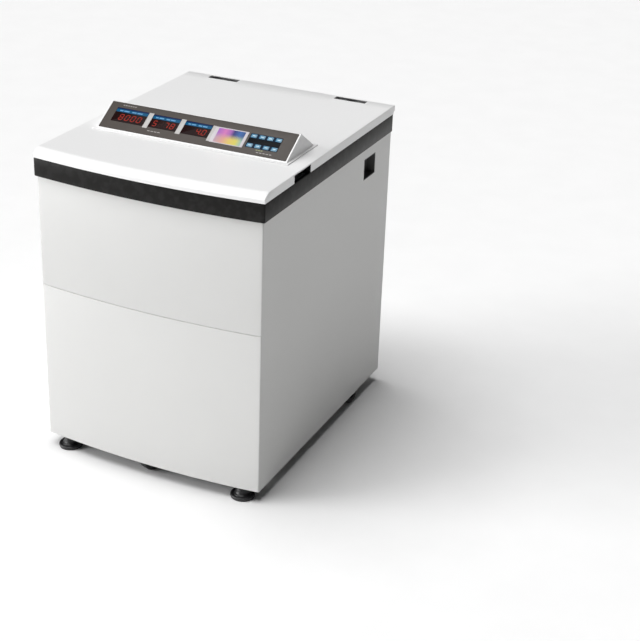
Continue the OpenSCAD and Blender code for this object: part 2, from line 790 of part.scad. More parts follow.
// A block on the face over a window: [left, lower edge, width, height], grown by a margin
module face_block(window, low, high, margin = 0)
    on_face([window[0] - margin, window[1] - margin, low])
        cube([window[2] + 2 * margin, window[3] + 2 * margin, high - low]);

// Console outline seen from the side, shrunk by a wall; a negative drop lowers its floor
function wedge_points(wall, drop) =
    let (
        front = wall / sin(face_slope),
        back = console_face_run + console_back_run - wall / sin(back_slope),
        rise = tan(face_slope),
        fall = tan(back_slope),
        apex = (front * rise + back * fall) / (rise + fall)
    )
    [[front - drop / rise, -drop], [apex, (apex - front) * rise], [back + drop / fall, -drop]];

module wedge(wall, drop, half)
    translate([-half, console_y, lid_top]) rotate([90, 0, 90])
        linear_extrude(2 * half) polygon(wedge_points(wall, drop));

function key_place(i) = [key_columns[i % 4], key_rows[floor(i / 4)]];

function key_window(i) =
    [key_place(i).x - key_size.x / 2, key_place(i).y - key_size.y / 2, key_size.x, key_size.y];

module console_housing() color("white") {
    half = console_w / 2;
    foot = [console_y - 4, console_y + console_face_run + console_back_run + 4];
    difference() {
        union() {
            wedge(0, 0, half);
            box([-half - 8, foot[0], lid_top], [half + 8, foot[1], lid_top + 2.5]);
        }
        wedge(3, 1, half - 3);
        face_block([-272, 9, 544, 90], -face_t, 10);
        face_block([-262, 20, 524, 70], -8, 2);
    }
}

module console_face() color([0.35, 0.32, 0.3]) difference() {
    face_block([-271.8, 9.2, 543.6, 89.6], -face_t, 0);
    for (window = [speed_window, time_window, temperature_window, screen_window])
        face_block(window, -face_t - 1, 1, 0.2);
    for (i = [0:7]) face_block(key_window(i), -face_t - 1, 1, key_gap);
}

module led_displays() color([0.1, 0.02, 0.02])
    for (window = [speed_window, time_window, temperature_window])
        face_block(window, board_w + board_t, 0.6);

module graphic_screen() color([0.8, 0.3, 0.7]) {
    face_block(screen_window, board_w + board_t, 0.4);
    difference() {
        face_block(screen_bezel, 0, 0.8);
        face_block(screen_window, -1, 2, 0.3);
    }
}

// Circuit board with a switch under each key
module console_board() color("darkgreen") {
    face_block([-255, 30, 510, 58], board_w, board_w + board_t);
    for (i = [0:7]) on_face([key_place(i).x, key_place(i).y, board_w + board_t - eps]) cylinder(r = 3, h = 4);
}

module key(i) color([0.2, 0.5, 0.8]) face_block(key_window(i), -5, key_proud);

// ---- Nodes ----

base_plate();
chassis_frame();
bridge_plate();
front_upper_panel();
front_lower_panel();
left_side_panel();
right_side_panel();
rear_panel();
trim_band();
top_deck();
chamber_bowl();
chamber_gasket();
guard_ring();
chamber_insulation();
refrigerant_pipes();
motor_housing();
motor_stator();
motor_dampers();
spindle_bearings();
compressor();
condenser();
fan_shroud();
inverter_box();
power_inlet();
switch_recess();
lock_housing();
hinge_brackets();
drain_spigot();
cabinet_fasteners();
caster_brackets();
lid_shell();
lid_liner();
lid_insulation();
lid_strikers();
lid_hinge_arms();
console_housing();
console_face();
led_displays();
graphic_screen();
console_board();
key(0);  // key_1
key(1);  // key_2
key(2);  // key_3
key(3);  // key_4
key(4);  // key_5
key(5);  // key_6
key(6);  // key_7
key(7);  // key_8
drive_shaft();
rotor_body();
rotor_nut();
fan_blades();
mains_rocker();
lock_bolt();
caster_fork();
front_caster_wheel();
rear_caster_wheel(-1);  // rear_left_wheel
rear_caster_wheel(1);  // rear_right_wheel
levelling_foot(-1);  // left_foot
levelling_foot(1);  // right_foot
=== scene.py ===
import math

import bmesh
import bpy
from mathutils import Matrix, Vector


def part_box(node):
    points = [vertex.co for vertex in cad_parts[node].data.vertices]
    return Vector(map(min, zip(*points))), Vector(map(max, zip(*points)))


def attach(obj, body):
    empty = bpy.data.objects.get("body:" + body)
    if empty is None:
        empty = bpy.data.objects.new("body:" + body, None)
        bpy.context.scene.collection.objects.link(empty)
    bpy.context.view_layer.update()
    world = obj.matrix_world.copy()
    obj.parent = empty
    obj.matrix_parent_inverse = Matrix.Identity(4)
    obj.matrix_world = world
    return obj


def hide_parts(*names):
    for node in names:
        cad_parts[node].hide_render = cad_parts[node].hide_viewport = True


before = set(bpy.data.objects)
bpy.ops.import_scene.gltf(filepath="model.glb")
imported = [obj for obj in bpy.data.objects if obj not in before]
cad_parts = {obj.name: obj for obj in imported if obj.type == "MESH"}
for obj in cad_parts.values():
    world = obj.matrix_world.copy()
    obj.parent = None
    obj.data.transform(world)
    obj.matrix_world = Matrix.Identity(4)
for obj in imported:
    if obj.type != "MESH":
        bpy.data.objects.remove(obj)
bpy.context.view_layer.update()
MM = 0.001

# ---- Places and sizes taken from the frame ----

panel_low, panel_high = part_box("front_lower_panel")
upper_low, upper_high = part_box("front_upper_panel")
band_low, band_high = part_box("trim_band")
lid_low, lid_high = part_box("lid_shell")
HALF_W = panel_high.x
REAR_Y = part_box("rear_panel")[1].y
BOW = 20 * MM
FRONT_Y = panel_low.y + BOW
BOW_R = (HALF_W ** 2 + BOW ** 2) / (2 * BOW)
BOW_CENTRE_Y = FRONT_Y - BOW + BOW_R
SIDE_OVERHANG = lid_high.x - HALF_W
REAR_OVERHANG = lid_high.y - REAR_Y
LID_TOP = lid_high.z
LID_BOTTOM = lid_low.z
CORNER_STEPS, BOW_STEPS, REAR_STEPS = 6, 48, 8


# ---- Mesh helpers ----

def make(name, verts, faces, body, smooth=35):
    """A mesh object from points and faces, riding on a body."""
    mesh = bpy.data.meshes.new(name)
    mesh.from_pydata([tuple(v) for v in verts], [], faces)
    work = bmesh.new()
    work.from_mesh(mesh)
    bmesh.ops.remove_doubles(work, verts=work.verts, dist=1e-6)
    bmesh.ops.recalc_face_normals(work, faces=work.faces)
    work.to_mesh(mesh)
    work.free()
    piece = bpy.data.objects.new(name, mesh)
    bpy.context.scene.collection.objects.link(piece)
    soften(piece, smooth)
    if body:
        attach(piece, body)
    return piece


def soften(piece, angle):
    """Smooth shading, with edges sharper than the angle kept crisp."""
    mesh = piece.data
    mesh.polygons.foreach_set("use_smooth", [True] * len(mesh.polygons))
    mesh.set_sharp_from_angle(angle=math.radians(angle))
    mesh.update()


def apply_modifiers(piece, smooth=35):
    """Replaces a piece's mesh with the result of its modifiers."""
    bpy.context.view_layer.update()
    evaluated = piece.evaluated_get(bpy.context.evaluated_depsgraph_get())
    result = bpy.data.meshes.new_from_object(evaluated)
    piece.modifiers.clear()
    piece.data = result
    soften(piece, smooth)
    return piece


def bevel(piece, width, segments=3, angle=35):
    """Rounds the edges of a piece that are sharper than the angle."""
    modifier = piece.modifiers.new("edges", "BEVEL")
    modifier.width = width
    modifier.segments = segments
    modifier.limit_method = "ANGLE"
    modifier.angle_limit = math.radians(angle)
    return apply_modifiers(piece)


def cut(piece, *cutters):
    """Takes cutters out of a piece, and deletes them."""
    for cutter in cutters:
        modifier = piece.modifiers.new("cut", "BOOLEAN")
        modifier.operation = "DIFFERENCE"
        modifier.solver = "EXACT"
        modifier.object = cutter
    apply_modifiers(piece)
    for cutter in cutters:
        bpy.data.objects.remove(cutter)
    return piece


def block_mesh(low, high):
    """Points and faces of a box."""
    verts = [Vector((x, y, z)) for x in (low[0], high[0]) for y in (low[1], high[1]) for z in (low[2], high[2])]
    faces = [(0, 1, 3, 2), (4, 6, 7, 5), (0, 4, 5, 1), (2, 3, 7, 6), (0, 2, 6, 4), (1, 5, 7, 3)]
    return verts, faces


def cutter_box(low, high):
    verts, faces = block_mesh(low, high)
    return make("cutter", verts, faces, None)


def arc(cx, cy, r, start, end, steps):
    """Points on an arc, in degrees."""
    angles = [math.radians(start + (end - start) * i / steps) for i in range(steps + 1)]
    return [(cx + r * math.cos(a), cy + r * math.sin(a)) for a in angles]


def grid_faces(rows, columns, closed_rows=False, closed_columns=False):
    """Quads between successive rows of points."""
    faces = []
    for i in range(rows if closed_rows else rows - 1):
        for j in range(columns if closed_columns else columns - 1):
            a, b = i * columns + j, i * columns + (j + 1) % columns
            c, d = ((i + 1) % rows) * columns + (j + 1) % columns, ((i + 1) % rows) * columns + j
            faces.append((a, b, c, d))
    return faces


def lathe(name, profile, body, centre, steps=96, axis="Z", smooth=35):
    """Turns a profile of (radius, height) about an axis through a centre. A closed profile gives a ring."""
    verts = []
    for r, h in profile:
        for i in range(steps):
            a = 2 * math.pi * i / steps
            x, y, z = r * math.cos(a), r * math.sin(a), h
            verts.append((z, x, y) if axis == "X" else (y, z, x) if axis == "Y" else (x, y, z))
    closed = profile[0][0] > 1e-6 and profile[-1][0] > 1e-6
    faces = grid_faces(len(profile), steps, closed_rows=closed, closed_columns=True)
    piece = make(name, verts, faces, None, smooth)
    piece.data.transform(Matrix.Translation(centre))
    if body:
        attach(piece, body)
    return piece


def in_metres(points):
    """A profile that was given in millimetres."""
    return [(r * MM, z * MM) for r, z in points]


def outline(grow, back, front_corner, rear_corner):
    """The cabinet's outline in plan, grown by margins at the front and sides and at the back."""
    side = HALF_W + grow
    reach = BOW_R + grow - front_corner
    turn = math.degrees(math.asin((side - front_corner) / reach))
    corner_y = BOW_CENTRE_Y - reach * math.cos(math.radians(turn))
    rear_y = REAR_Y + back - rear_corner
    left_x, right_x = front_corner - side, side - front_corner
    rear_x = side - rear_corner
    gap = 0.3
    return (arc(left_x, corner_y, front_corner, 180, 270 - turn, CORNER_STEPS)
            + arc(0, BOW_CENTRE_Y, BOW_R + grow, 270 - turn + gap, 270 + turn - gap, BOW_STEPS)
            + arc(right_x, corner_y, front_corner, 270 + turn, 360, CORNER_STEPS)
            + arc(rear_x, rear_y, rear_corner, 0, 90, REAR_STEPS)
            + arc(-rear_x, rear_y, rear_corner, 90, 180, REAR_STEPS))


def ring_of(name, levels, body, smooth=35):
    """A closed ring from levels of (grow, back, front corner, rear corner, z)."""
    verts = []
    for grow, back, front_corner, rear_corner, z in levels:
        verts += [(x, y, z) for x, y in outline(grow, back, front_corner, rear_corner)]
    columns = len(verts) // len(levels)
    return make(name, verts, grid_faces(len(levels), columns, True, True), body, smooth)


def prism(points, bottom, top):
    """Points and faces of an upright prism over an outline."""
    n = len(points)
    verts = [(x, y, bottom) for x, y in points] + [(x, y, top) for x, y in points]
    faces = [tuple(range(n))[::-1], tuple(range(n, 2 * n))]
    faces += [(i, (i + 1) % n, n + (i + 1) % n, n + i) for i in range(n)]
    return verts, faces


# ---- Materials ----

def noise(tree, scale, detail=4.0, roughness=0.55, stretch=(1, 1, 1)):
    """A noise texture in object space. Returns its factor."""
    nodes, links = tree.nodes, tree.links
    place = nodes.new("ShaderNodeTexCoord")
    mapping = nodes.new("ShaderNodeMapping")
    mapping.inputs["Scale"].default_value = stretch
    texture = nodes.new("ShaderNodeTexNoise")
    texture.inputs["Scale"].default_value = scale
    texture.inputs["Detail"].default_value = detail
    texture.inputs["Roughness"].default_value = roughness
    links.new(place.outputs["Object"], mapping.inputs["Vector"])
    links.new(mapping.outputs["Vector"], texture.inputs["Vector"])
    return texture.outputs["Fac"]


def ramp(tree, factor, stops):
    """A colour ramp over a factor, from (place, colour) stops."""
    node = tree.nodes.new("ShaderNodeValToRGB")
    elements = node.color_ramp.elements
    while len(elements) < len(stops):
        elements.new(0.5)
    for element, (place, colour) in zip(elements, stops):
        element.position = place
        element.color = (*colour, 1) if len(colour) == 3 else colour
    tree.links.new(factor, node.inputs["Fac"])
    return node.outputs["Color"]


def shade(colour, share):
    """A colour made lighter or darker by a share."""
    return tuple(min(1.0, c * share) for c in colour)


def finish_of(name, colour, roughness, metallic=0.0, vary=0.05, grain=900.0, bump=0.05, stretch=(1, 1, 1),
              wear=0.0, wear_colour=(0.5, 0.5, 0.5), sheen=0.0, specular=0.5, blotch=6.0):
    """A surface with slow colour variation, a fine grain in bump and roughness, and worn edges."""
    material = bpy.data.materials.new(name)
    material.use_nodes = True
    tree = material.node_tree
    shader = tree.nodes["Principled BSDF"]
    shader.inputs["Metallic"].default_value = metallic
    shader.inputs["Specular IOR Level"].default_value = specular
    shader.inputs["Sheen Weight"].default_value = sheen
    slow = noise(tree, blotch, 3.0)
    tint = ramp(tree, slow, [(0.3, shade(colour, 1 - vary)), (0.7, shade(colour, 1 + vary))])
    if wear:
        point = tree.nodes.new("ShaderNodeNewGeometry")
        edge = ramp(tree, point.outputs["Pointiness"], [(0.51, (0, 0, 0)), (0.56, (1, 1, 1))])
        patchy = ramp(tree, noise(tree, 45.0, 5.0), [(0.45, (0, 0, 0)), (0.6, (wear, wear, wear))])
        both = tree.nodes.new("ShaderNodeMix")
        both.data_type = "RGBA"
        both.blend_type = "MULTIPLY"
        both.inputs["Factor"].default_value = 1.0
        tree.links.new(edge, both.inputs["A"])
        tree.links.new(patchy, both.inputs["B"])
        worn = tree.nodes.new("ShaderNodeMix")
        worn.data_type = "RGBA"
        worn.inputs["B"].default_value = (*wear_colour, 1)
        tree.links.new(both.outputs["Result"], worn.inputs["Factor"])
        tree.links.new(tint, worn.inputs["A"])
        tint = worn.outputs["Result"]
    tree.links.new(tint, shader.inputs["Base Color"])
    fine = noise(tree, grain, 3.0, 0.6, stretch)
    low, high = max(0.02, roughness * 0.85), min(1.0, roughness * 1.15)
    rough = ramp(tree, fine, [(0.3, (low, low, low)), (0.7, (high, high, high))])
    tree.links.new(rough, shader.inputs["Roughness"])
    relief = tree.nodes.new("ShaderNodeBump")
    relief.inputs["Strength"].default_value = bump
    relief.inputs["Distance"].default_value = 0.0004
    tree.links.new(fine, relief.inputs["Height"])
    tree.links.new(relief.outputs["Normal"], shader.inputs["Normal"])
    return material


def glow(name, colour, strength, base=(0.02, 0.02, 0.02)):
    """A lit surface under a clear window, with slight unevenness."""
    material = finish_of(name, base, 0.3, vary=0.1, grain=400, bump=0.02, specular=0.05)
    shader = material.node_tree.nodes["Principled BSDF"]
    uneven = ramp(material.node_tree, noise(material.node_tree, 220.0, 2.0),
                  [(0.3, shade(colour, 0.75)), (0.7, colour)])
    material.node_tree.links.new(uneven, shader.inputs["Emission Color"])
    shader.inputs["Emission Strength"].default_value = strength
    return material


def screen_picture():
    """The lit graphic screen: soft patches of pink, blue, cyan, peach and yellow."""
    material = finish_of("screen_picture", (0.03, 0.03, 0.04), 0.22, vary=0.05, bump=0.01, specular=0.06)
    tree = material.node_tree
    nodes, links = tree.nodes, tree.links
    place = nodes.new("ShaderNodeTexCoord")
    wobble = nodes.new("ShaderNodeTexNoise")
    wobble.inputs["Scale"].default_value = 38.0
    split = nodes.new("ShaderNodeSeparateXYZ")
    links.new(place.outputs["UV"], split.inputs["Vector"])
    upper = ramp(tree, split.outputs["X"], [(0.0, (0.42, 0.16, 0.6)), (0.28, (0.75, 0.22, 0.55)),
                                            (0.48, (0.42, 0.14, 0.5)), (0.6, (0.02, 0.02, 0.18)),
                                            (0.82, (0.02, 0.13, 0.42)), (1.0, (0.02, 0.08, 0.25))])
    lower = ramp(tree, split.outputs["X"], [(0.0, (0.6, 0.42, 0.5)), (0.3, (0.8, 0.4, 0.3)),
                                            (0.55, (0.85, 0.62, 0.14)), (0.8, (0.78, 0.7, 0.1)),
                                            (1.0, (0.35, 0.6, 0.5))])
    drift = nodes.new("ShaderNodeMath")
    drift.operation = "MULTIPLY_ADD"
    drift.inputs[1].default_value = 0.35
    links.new(wobble.outputs["Fac"], drift.inputs[0])
    links.new(split.outputs["Y"], drift.inputs[2])
    share = ramp(tree, drift.outputs[0], [(0.5, (0, 0, 0)), (0.85, (1, 1, 1))])
    mix = nodes.new("ShaderNodeMix")
    mix.data_type = "RGBA"
    links.new(share, mix.inputs["Factor"])
    links.new(lower, mix.inputs["A"])
    links.new(upper, mix.inputs["B"])
    shader = nodes["Principled BSDF"]
    links.new(mix.outputs["Result"], shader.inputs["Emission Color"])
    shader.inputs["Emission Strength"].default_value = 0.85
    return material


# the panel colour is darker than the lid's white: painted shade, so the shaded right side reads dark
PANEL_GREY_PAINTED_SHADE = (0.66, 0.66, 0.65)
M = {
    "panel": finish_of("panel_grey_painted_shade", PANEL_GREY_PAINTED_SHADE, 0.42, vary=0.012, grain=1500, bump=0.06, blotch=2.5),
    "lid": finish_of("lid_white", (0.86, 0.86, 0.86), 0.34, vary=0.01, grain=1100, bump=0.03, blotch=2.0),
    "console_white": finish_of("console_white", (0.82, 0.82, 0.82), 0.36, vary=0.012, grain=1300, bump=0.04),
    "band": finish_of("band_dark", (0.014, 0.0135, 0.013), 0.36, vary=0.04, grain=1600, bump=0.03,
                      wear=0.3, wear_colour=(0.05, 0.05, 0.05), blotch=2, specular=0.1),
    "deck": finish_of("deck_grey", (0.5, 0.51, 0.52), 0.38, vary=0.03, grain=1200, bump=0.05),
    "steel": finish_of("zinc_steel", (0.62, 0.63, 0.65), 0.34, 1.0, vary=0.08, grain=260, bump=0.05,
                       wear=0.6, wear_colour=(0.85, 0.85, 0.87), blotch=25),
    "stainless": finish_of("brushed_stainless", (0.68, 0.69, 0.7), 0.27, 1.0, vary=0.04, grain=60, bump=0.08,
                           stretch=(1, 1, 60), blotch=8),
    "frame": finish_of("frame_paint", (0.06, 0.063, 0.067), 0.55, vary=0.12, grain=700, bump=0.12,
                       wear=0.5, wear_colour=(0.3, 0.3, 0.31)),
    "rubber": finish_of("black_rubber", (0.016, 0.016, 0.017), 0.72, vary=0.2, grain=800, bump=0.2,
                        wear=0.5, wear_colour=(0.06, 0.058, 0.055), specular=0.35),
    "plastic": finish_of("black_plastic", (0.014, 0.014, 0.015), 0.4, vary=0.15, grain=1300, bump=0.12,
                         wear=0.4, wear_colour=(0.07, 0.07, 0.07)),
    "recess": finish_of("recess_plastic", (0.075, 0.075, 0.074), 0.5, vary=0.08, grain=1300, bump=0.1),
    "enamel": finish_of("black_enamel", (0.01, 0.01, 0.011), 0.3, vary=0.2, grain=300, bump=0.04,
                        wear=0.5, wear_colour=(0.2, 0.2, 0.2)),
    "foam": finish_of("insulation_foam", (0.62, 0.53, 0.3), 0.95, vary=0.12, grain=260, bump=0.7, sheen=0.2),
    "copper": finish_of("copper", (0.72, 0.36, 0.2), 0.3, 1.0, vary=0.15, grain=200, bump=0.05, blotch=30),
    "motor": finish_of("motor_paint", (0.03, 0.045, 0.075), 0.4, vary=0.1, grain=500, bump=0.1,
                       wear=0.5, wear_colour=(0.35, 0.35, 0.36)),
    "fins": finish_of("fin_aluminium", (0.75, 0.76, 0.77), 0.4, 1.0, vary=0.05, grain=120, bump=0.08),
    "face": finish_of("console_film", (0.062, 0.053, 0.047), 0.42, vary=0.06, grain=1600, bump=0.06, blotch=14,
                      specular=0.2),
    "divider": finish_of("divider_grey", (0.42, 0.41, 0.4), 0.4, vary=0.05, grain=900, bump=0.04, blotch=20),
    "bezel": finish_of("screen_bezel", (0.5, 0.47, 0.5), 0.4, vary=0.05, grain=900, bump=0.04),
    "window": finish_of("display_window", (0.012, 0.004, 0.004), 0.25, vary=0.1, grain=500, bump=0.01,
                        specular=0.04),
    "keypad": finish_of("keypad_ground", (0.004, 0.005, 0.007), 0.4, vary=0.15, grain=900, bump=0.05,
                        specular=0.05),
    "navy": finish_of("keypad_stripe", (0.004, 0.014, 0.035), 0.4, vary=0.15, grain=900, bump=0.05,
                      specular=0.05),
    "key": finish_of("key_blue", (0.045, 0.19, 0.32), 0.34, vary=0.1, grain=800, bump=0.04, blotch=60,
                     wear=0.5, wear_colour=(0.3, 0.5, 0.6)),
    "key_mark": finish_of("key_mark", (0.55, 0.72, 0.8), 0.4, vary=0.05, bump=0.03),
    "print": finish_of("printed_dash", (0.3, 0.28, 0.27), 0.45, vary=0.05, bump=0.03),
    "print_green": finish_of("printed_dash_green", (0.2, 0.22, 0.08), 0.45, vary=0.05, bump=0.03),
    "header": glow("header_strip", (0.004, 0.13, 0.28), 0.55, (0.002, 0.03, 0.07)),
    "header_edge": glow("header_edge", (0.003, 0.02, 0.09), 0.5, (0.003, 0.01, 0.04)),
    "header_mark": glow("header_mark", (0.16, 0.42, 0.75), 0.6, (0.05, 0.12, 0.2)),
    "lit": glow("segment_lit", (0.5, 0.028, 0.01), 0.6, (0.06, 0.004, 0.003)),
    "unlit": finish_of("segment_unlit", (0.022, 0.004, 0.003), 0.3, vary=0.1, bump=0.02, specular=0.04),
    "screen": screen_picture(),
    "board": finish_of("circuit_board", (0.015, 0.12, 0.045), 0.35, vary=0.2, grain=300, bump=0.1, blotch=120),
    "rotor": finish_of("rotor_anodised", (0.052, 0.049, 0.078), 0.3, 1.0, vary=0.1, grain=90, bump=0.03,
                       stretch=(1, 1, 30), wear=0.5, wear_colour=(0.3, 0.29, 0.36), blotch=5),
    # the cavities' lighter violet is a painted sheen of the anodised rotor
    "rotor_cavity_painted_sheen": finish_of("rotor_cavity_painted_sheen", (0.1, 0.092, 0.19), 0.34, 1.0, vary=0.08, grain=120, bump=0.02),
    "rotor_dark": finish_of("rotor_rim", (0.03, 0.03, 0.036), 0.36, 1.0, vary=0.1, grain=300, bump=0.04,
                            wear=0.5, wear_colour=(0.3, 0.3, 0.33)),
    "rocker": finish_of("rocker_grey", (0.35, 0.35, 0.35), 0.35, vary=0.05, grain=900, bump=0.05),
}

NODE_MATERIALS = {
    "panel": ["left_side_panel", "right_side_panel", "rear_panel"],
    "deck": ["top_deck", "lid_liner"],
    "steel": ["bridge_plate", "spindle_bearings", "inverter_box", "lock_housing", "hinge_brackets",
              "cabinet_fasteners", "caster_brackets", "lid_strikers", "drive_shaft", "lock_bolt",
              "caster_fork"],
    "frame": ["base_plate", "chassis_frame", "guard_ring"],
    "rubber": ["motor_dampers", "drain_spigot", "chamber_gasket"],
    "plastic": ["fan_shroud", "power_inlet", "fan_blades"],
    "recess": ["switch_recess"],
    "enamel": ["lid_hinge_arms", "compressor"],
    "foam": ["chamber_insulation", "lid_insulation"],
    "copper": ["refrigerant_pipes", "motor_stator"],
    "motor": ["motor_housing"],
    "fins": ["condenser"],
    "board": ["console_board"],
    "rocker": ["mains_rocker"],
    "stainless": ["chamber_bowl"],
    "rotor_dark": ["rotor_nut"],
}


def paint(piece, material):
    piece.data.materials.clear()
    piece.data.materials.append(M[material])
    return piece


def paint_where(piece, material, inside):
    """Gives the faces whose centres pass a test another material."""
    piece.data.materials.append(M[material])
    index = len(piece.data.materials) - 1
    for face in piece.data.polygons:
        if inside(face.center):
            face.material_index = index
    return piece


def paint_nodes():
    """Gives each CAD node that stays its material."""
    for material, names in NODE_MATERIALS.items():
        for name in names:
            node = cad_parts[name]
            for place in node.material_slots:
                place.material = M[material]


# ---- Cabinet ----

FRONT_CORNER = 3 * MM
SHEET = 2 * MM


def front_path(depth):
    """The front's outline in plan at a depth inside its outer face, with a short return at each side."""
    points = outline(-depth, 0, max(FRONT_CORNER - depth, 0.5 * MM), FRONT_CORNER)
    path = points[:2 * (CORNER_STEPS + 1) + BOW_STEPS + 1]
    end_y = FRONT_Y + 3 * MM
    path[0] = (path[0][0], end_y)
    path[-1] = (path[-1][0], end_y)
    return path


def front_panel(name, low, high, flange_at_bottom):
    """The bowed front sheet with rounded edges, turned in at its seam edge."""
    edge, lip = 0.7 * MM, 6 * MM
    soft_in, soft_up = 0.2 * MM, 0.25 * MM
    bottom, top = low.z, high.z
    levels = [(edge, bottom), (soft_in, bottom + soft_up), (0, bottom + edge), (0, top - edge),
              (soft_in, top - soft_up), (edge, top), (lip, top), (lip, top - SHEET), (SHEET, top - SHEET)]
    if flange_at_bottom:
        levels += [(SHEET, bottom + SHEET), (lip, bottom + SHEET), (lip, bottom)]
    else:
        levels += [(SHEET, bottom)]
    verts = [(x, y, z) for depth, z in levels for x, y in front_path(depth)]
    columns = len(verts) // len(levels)
    faces = grid_faces(len(levels), columns, closed_rows=True)
    for end in (0, columns - 1):
        faces.append(tuple(end + columns * i for i in range(len(levels))))
    piece = make(name + "_skin", verts, faces, "cabinet", 40)
    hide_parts(name)
    return paint(piece, "panel")


def trim_band():
    """The dark band round the top of the cabinet, with eased edges and notches for the hinges."""
    outer, outer_back = SIDE_OVERHANG, REAR_OVERHANG
    inner, inner_back = -4 * MM, -5 * MM
    full, eased, inside = (4 * MM, 14 * MM), (3 * MM, 13 * MM), (2 * MM, 6 * MM)
    bottom, top = band_low.z, band_high.z
    ease = 1.2 * MM
    part = 0.35 * ease
    levels = [(outer - ease, outer_back - ease, *eased, bottom),
              (outer - part, outer_back - part, *full, bottom + part),
              (outer, outer_back, *full, bottom + ease),
              (outer, outer_back, *full, top - ease),
              (outer - part, outer_back - part, *full, top - part),
              (outer - ease, outer_back - ease, *eased, top),
              (inner + ease, inner_back + ease, *inside, top),
              (inner, inner_back, *inside, top - ease),
              (inner, inner_back, *inside, bottom + ease),
              (inner + ease, inner_back + ease, *inside, bottom)]
    piece = ring_of("band", levels, "cabinet")
    notch_inner, notch_outer = 148 * MM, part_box("hinge_brackets")[1].x + 10 * MM
    notch_depth, notch_drop = 9 * MM, 5.5 * MM
    for side in (-1, 1):
        left, right = sorted((side * notch_outer, side * notch_inner))
        cut(piece, cutter_box((left, REAR_Y - notch_depth, top - notch_drop),
                              (right, REAR_Y + 20 * MM, top + 5 * MM)))
    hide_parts("trim_band")
    return paint(piece, "band")


def foot(side):
    """Levelling foot: soft-edged disc, conical hub, stem with a waist, and threaded stud."""
    name = "left_foot" if side < 0 else "right_foot"
    low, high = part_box(name)
    r, top = (high.x - low.x) / 2 / MM, high.z / MM
    centre = ((low.x + high.x) / 2, (low.y + high.y) / 2, 0)
    disc = [(0, 0)] + arc(r - 2.2, 2.2, 2.2, -90, 0, 4) + arc(r - 3, 6.5, 3, 0, 80, 5)
    groove = [(r - 7, 9.4), (r - 7.4, 8.8), (r - 8.4, 8.8), (r - 8.8, 9.8)]
    hub = arc(26, 19, 9, 250, 185, 5)
    stem = [(16, 24), (15.4, 25), (15.4, 26), (16, 27), (16, 47), (15, 48.5), (8, 50)]
    stud = []
    for z in range(50, round(top) - 3, 2):
        stud += [(8, z), (7.2, z + 0.9), (8, z + 1.8)]
    stud += [(7, top - 0.5), (0, top)]
    piece = lathe(name + "_turned", in_metres(disc + groove + hub + stem + stud), name, centre, 72)
    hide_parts(name)
    return paint(piece, "plastic")


def wheel(node, body, axis_turn):
    """Caster wheel: rounded tyre on a rim with a hub."""
    low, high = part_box(node)
    centre = (low + high) / 2
    r, half, bore, shoulder = centre.z / MM, 13, 4.05, 5
    tyre = arc(r - shoulder, shoulder - half, shoulder, -90, -8, 6) + [(r, 8 - half), (r, half - 8)]
    tyre += arc(r - shoulder, half - shoulder, shoulder, 8, 90, 6)
    tyre += [(27, half), (26.2, half - 1), (26.2, 1 - half), (27, -half)]
    face = [(bore, half), (11, half), (12, half - 1), (13.5, 5), (23, 5), (24.5, half - 1.5), (26, half - 1)]
    rim = [(out, -along) for out, along in face] + face[::-1]
    turn = Matrix.Translation(centre) @ Matrix.Rotation(axis_turn, 4, "Z")
    for part, profile, material in (("tyre", tyre, "rubber"), ("rim", rim, "plastic")):
        piece = lathe(node + "_" + part, in_metres(profile), None, (0, 0, 0), 72, "X")
        piece.data.transform(turn)
        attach(piece, body)
        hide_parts(node)
        paint(piece, material)


# ---- Lid ----

LID_R = BOW_R + SIDE_OVERHANG
NOSE_R, NOSE_RUN, CREASE, CREASE_BLEND = 40 * MM, 25 * MM, math.radians(8), 5 * MM
LID_EASE, LID_WALL = 2.2 * MM, 3 * MM
NOTCH_Y = (REAR_Y - 625 * MM, REAR_Y - 534 * MM)
NOTCH_ROOF = 2.4 * MM
POCKET_WALL = 3 * MM


def stops(*spans):
    """Values along (start, end, count) spans, each without its last value, then the last end."""
    values = []
    for start, end, count in spans:
        values += [start + (end - start) * i / count for i in range(count)]
    return values + [spans[-1][1]]


def nose_drop(distance):
    """Drop of the top at a distance behind the front edge, with the crease softened."""
    centre_r = LID_R - NOSE_RUN - NOSE_R * math.sin(CREASE)
    centre_z = LID_TOP - NOSE_R * math.cos(CREASE)
    radial = LID_R - distance - centre_r
    drop = LID_TOP - (centre_z + math.sqrt(max(NOSE_R ** 2 - radial ** 2, 0))) if radial > 0 else 0
    past = distance - (NOSE_RUN - CREASE_BLEND)
    fade = min(max(past / (2 * CREASE_BLEND), 0), 1)
    return max(drop, 0) * (1 - fade * fade * (3 - 2 * fade))


def side_drop(x):
    """Drop of the eased side edge."""
    into = abs(x) - (lid_high.x - LID_EASE)
    return LID_EASE - math.sqrt(max(LID_EASE ** 2 - into ** 2, 0)) if into > 0 else 0


